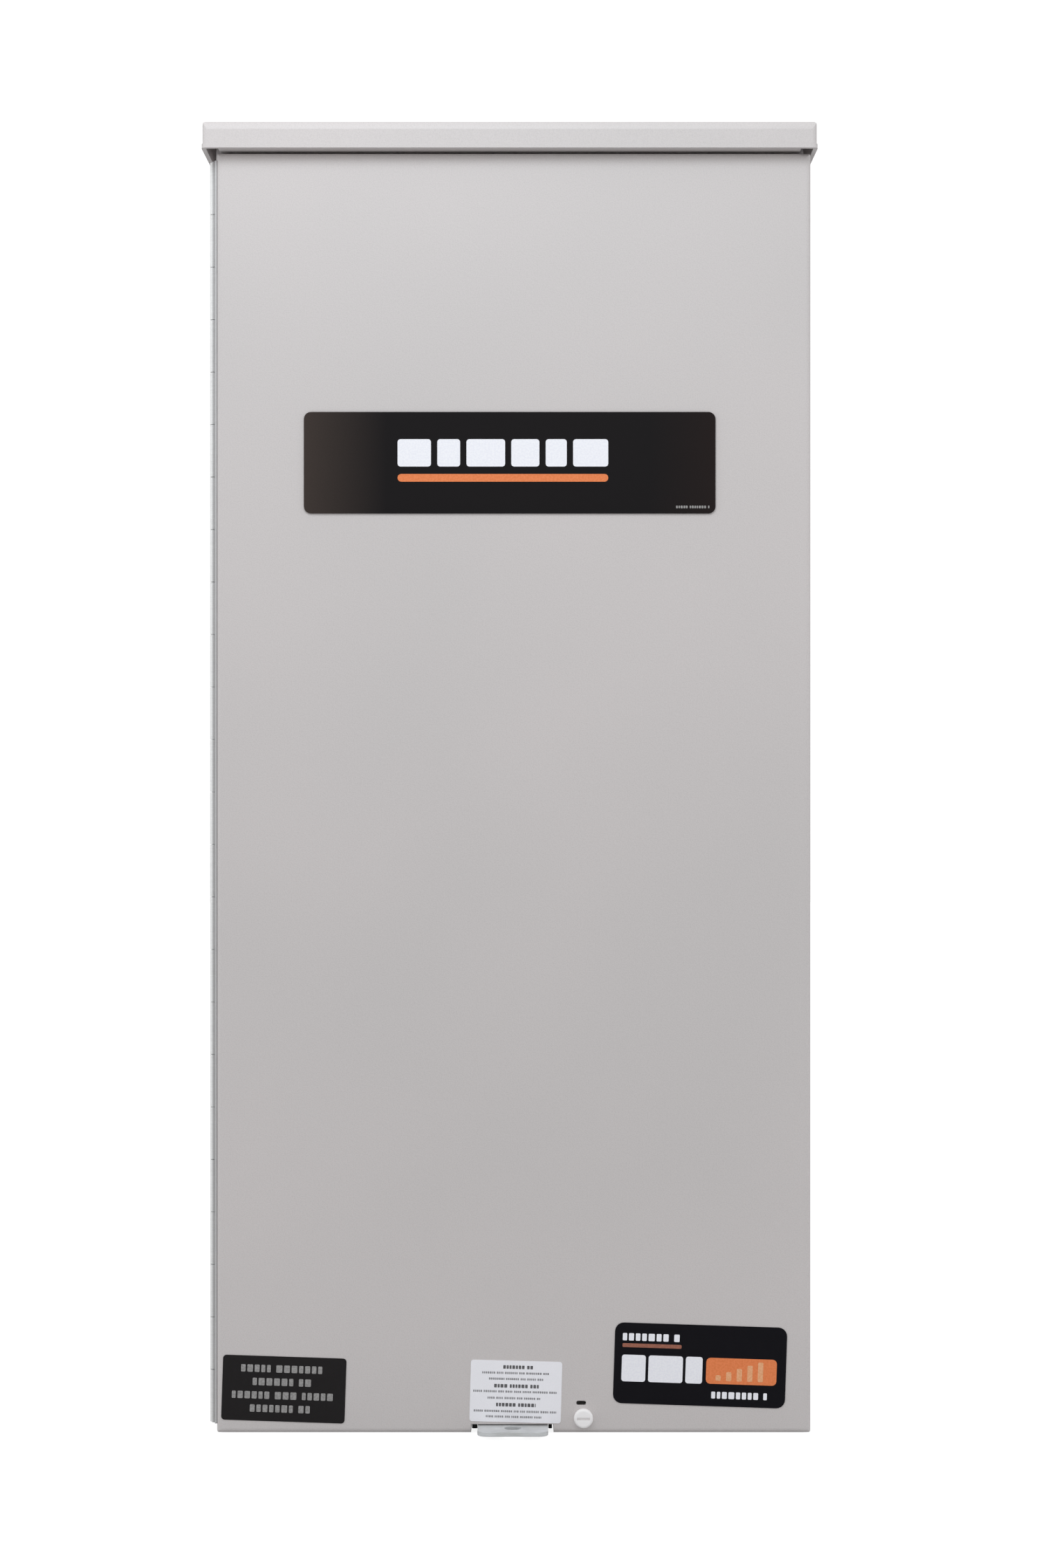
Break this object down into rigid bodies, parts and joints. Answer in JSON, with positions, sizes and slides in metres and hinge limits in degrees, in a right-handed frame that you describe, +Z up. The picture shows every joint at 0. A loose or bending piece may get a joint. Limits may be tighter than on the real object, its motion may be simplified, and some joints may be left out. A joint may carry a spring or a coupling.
{
  "type": "outdoor automatic transfer switch",
  "caption": "Wall-mounted outdoor automatic transfer switch: rain-hooded cabinet, hinged padlockable door, service disconnect, transfer mechanism and control board inside",
  "frame": {"origin": "centre of the four wall holes on the back face of the cabinet", "axes": "+Z up, +Y towards the wall, the door faces -Y"},
  "size_m": [0.3498, 0.188, 0.746],
  "materials": {
    "cabinet_paint": "warm light grey powder coat",
    "dead_front_paint": "satin",
    "hinge_steel": "satin",
    "zinc_steel": "zinc plated",
    "dark_steel": "satin",
    "lever_steel": "satin",
    "door_screw_cap": "coated light grey head",
    "seal_foam": "closed-cell foam",
    "plate_black": null,
    "label_black": null,
    "label_white": null,
    "breaker_black": "moulded thermoset",
    "toggle_black": "moulded",
    "button_red": "moulded",
    "button_blue": "moulded",
    "lug_aluminium": "tin plated",
    "bar_screw_green": "green zinc",
    "copper": "copper bar",
    "sensor_blue": "moulded",
    "thermoset_red": "moulded thermoset",
    "shaft_resin": "moulded",
    "coil_tape": "wound and taped",
    "board_green": "solder mask",
    "standoff_brass": "turned",
    "monitor_white": "moulded",
    "wire_red": "insulation",
    "handle_orange": "moulded"
  },
  "bodies": {
    "enclosure": {"cabinet_shell": "cabinet_paint", "bottom_panel": "cabinet_paint", "top_hood": "cabinet_paint", "top_header": "cabinet_paint", "dead_front": "dead_front_paint", "hinge_leaf_cabinet": "hinge_steel", "hasp_plate": "zinc_steel", "knockout_blanks": "zinc_steel", "backplate": "zinc_steel", "backplate_studs": "zinc_steel", "hinge_pin": "zinc_steel", "hinge_rivets": "zinc_steel", "dead_front_screws": "zinc_steel", "mechanism_plates": "zinc_steel", "coil_frames": "zinc_steel", "handle_clips": "zinc_steel", "clip_nut": "zinc_steel", "lug_set_screws": "dark_steel", "breaker_case": "breaker_black", "limit_switches": "breaker_black", "terminal_strip": "breaker_black", "fuse_block": "breaker_black", "board_components": "breaker_black", "relay": "breaker_black", "cable_lugs": "lug_aluminium", "neutral_bar": "lug_aluminium", "ground_bar": "lug_aluminium", "bar_screws": "bar_screw_green", "bus_links": "copper", "fixed_contacts": "copper", "load_straps": "copper", "bonding_strap": "copper", "current_transformers": "sensor_blue", "switch_base": "thermoset_red", "neutral_standoffs": "thermoset_red", "coils": "coil_tape", "control_board": "board_green", "board_standoffs": "standoff_brass", "monitor_module": "monitor_white", "wire_harness": "wire_red"},
    "door": {"door_panel": "cabinet_paint", "hinge_leaf_door": "hinge_steel", "door_stiffeners": "cabinet_paint", "door_seal": "seal_foam", "main_label": "plate_black", "corner_label_left": "label_black", "corner_label_right": "label_black", "notice_label": "label_white", "inner_label": "label_white"},
    "door_screw": {"door_screw": "door_screw_cap"},
    "toggle": {"breaker_toggle": "toggle_black"},
    "test_button": {"breaker_test_button": "button_red"},
    "shaft": {"transfer_shaft": "shaft_resin", "contact_arms": "copper"},
    "coil_rod": {"drive_rod": "dark_steel", "plungers": "dark_steel"},
    "upper_lever": {"limit_lever_upper": "lever_steel"},
    "lower_lever": {"limit_lever_lower": "lever_steel"},
    "reset_button": {"monitor_button": "button_blue"},
    "handle": {"manual_handle": "handle_orange"}
  },
  "joints": [
    {"name": "door_swing", "type": "hinge", "parent": "enclosure", "child": "door", "pos_m": [-0.1693, -0.1624, 0], "axis": [0, 0, -1], "range_deg": [0, 120]},
    {"name": "door_screw_turn", "type": "hinge", "parent": "door", "child": "door_screw", "pos_m": [0.042, -0.17, -0.3644], "axis": [0, -1, 0], "continuous": true},
    {"name": "breaker_toggle_swing", "type": "hinge", "parent": "enclosure", "child": "toggle", "pos_m": [-0.05, -0.092, 0.165], "axis": [1, 0, 0], "range_deg": [0, 36]},
    {"name": "breaker_test_press", "type": "slide", "parent": "enclosure", "child": "test_button", "axis": [0, 1, 0], "range_m": [0, 0.0015], "stiffness_N_per_m": 200, "springref_m": -0.0005},
    {"name": "transfer_shaft_turn", "type": "hinge", "parent": "enclosure", "child": "shaft", "pos_m": [-0.05, -0.058, -0.06], "axis": [1, 0, 0], "range_deg": [0, 34]},
    {"name": "coil_rod_slide", "type": "slide", "parent": "enclosure", "child": "coil_rod", "axis": [0, 0, -1], "range_m": [0, 0.01403]},
    {"name": "upper_lever_swing", "type": "hinge", "parent": "enclosure", "child": "upper_lever", "pos_m": [0.021, -0.074, -0.04], "axis": [-1, 0, 0], "range_deg": [0, 5.1]},
    {"name": "lower_lever_swing", "type": "hinge", "parent": "enclosure", "child": "lower_lever", "pos_m": [0.021, -0.074, -0.08], "axis": [-1, 0, 0], "range_deg": [0, 5.1]},
    {"name": "monitor_reset_press", "type": "slide", "parent": "enclosure", "child": "reset_button", "axis": [0, 1, 0], "range_m": [0, 0.0015], "stiffness_N_per_m": 200, "springref_m": -0.0005},
    {"name": "handle_lift_out", "type": "slide", "parent": "enclosure", "child": "handle", "axis": [0, -1, 0], "range_m": [0, 0.06]}
  ],
  "couplings": [
    {"joint": "transfer_shaft_turn", "follows": "coil_rod_slide", "rad_per_m": 42.283},
    {"joint": "upper_lever_swing", "follows": "coil_rod_slide", "rad_per_m": 6.2156},
    {"joint": "lower_lever_swing", "follows": "coil_rod_slide", "rad_per_m": 6.2156}
  ]
}
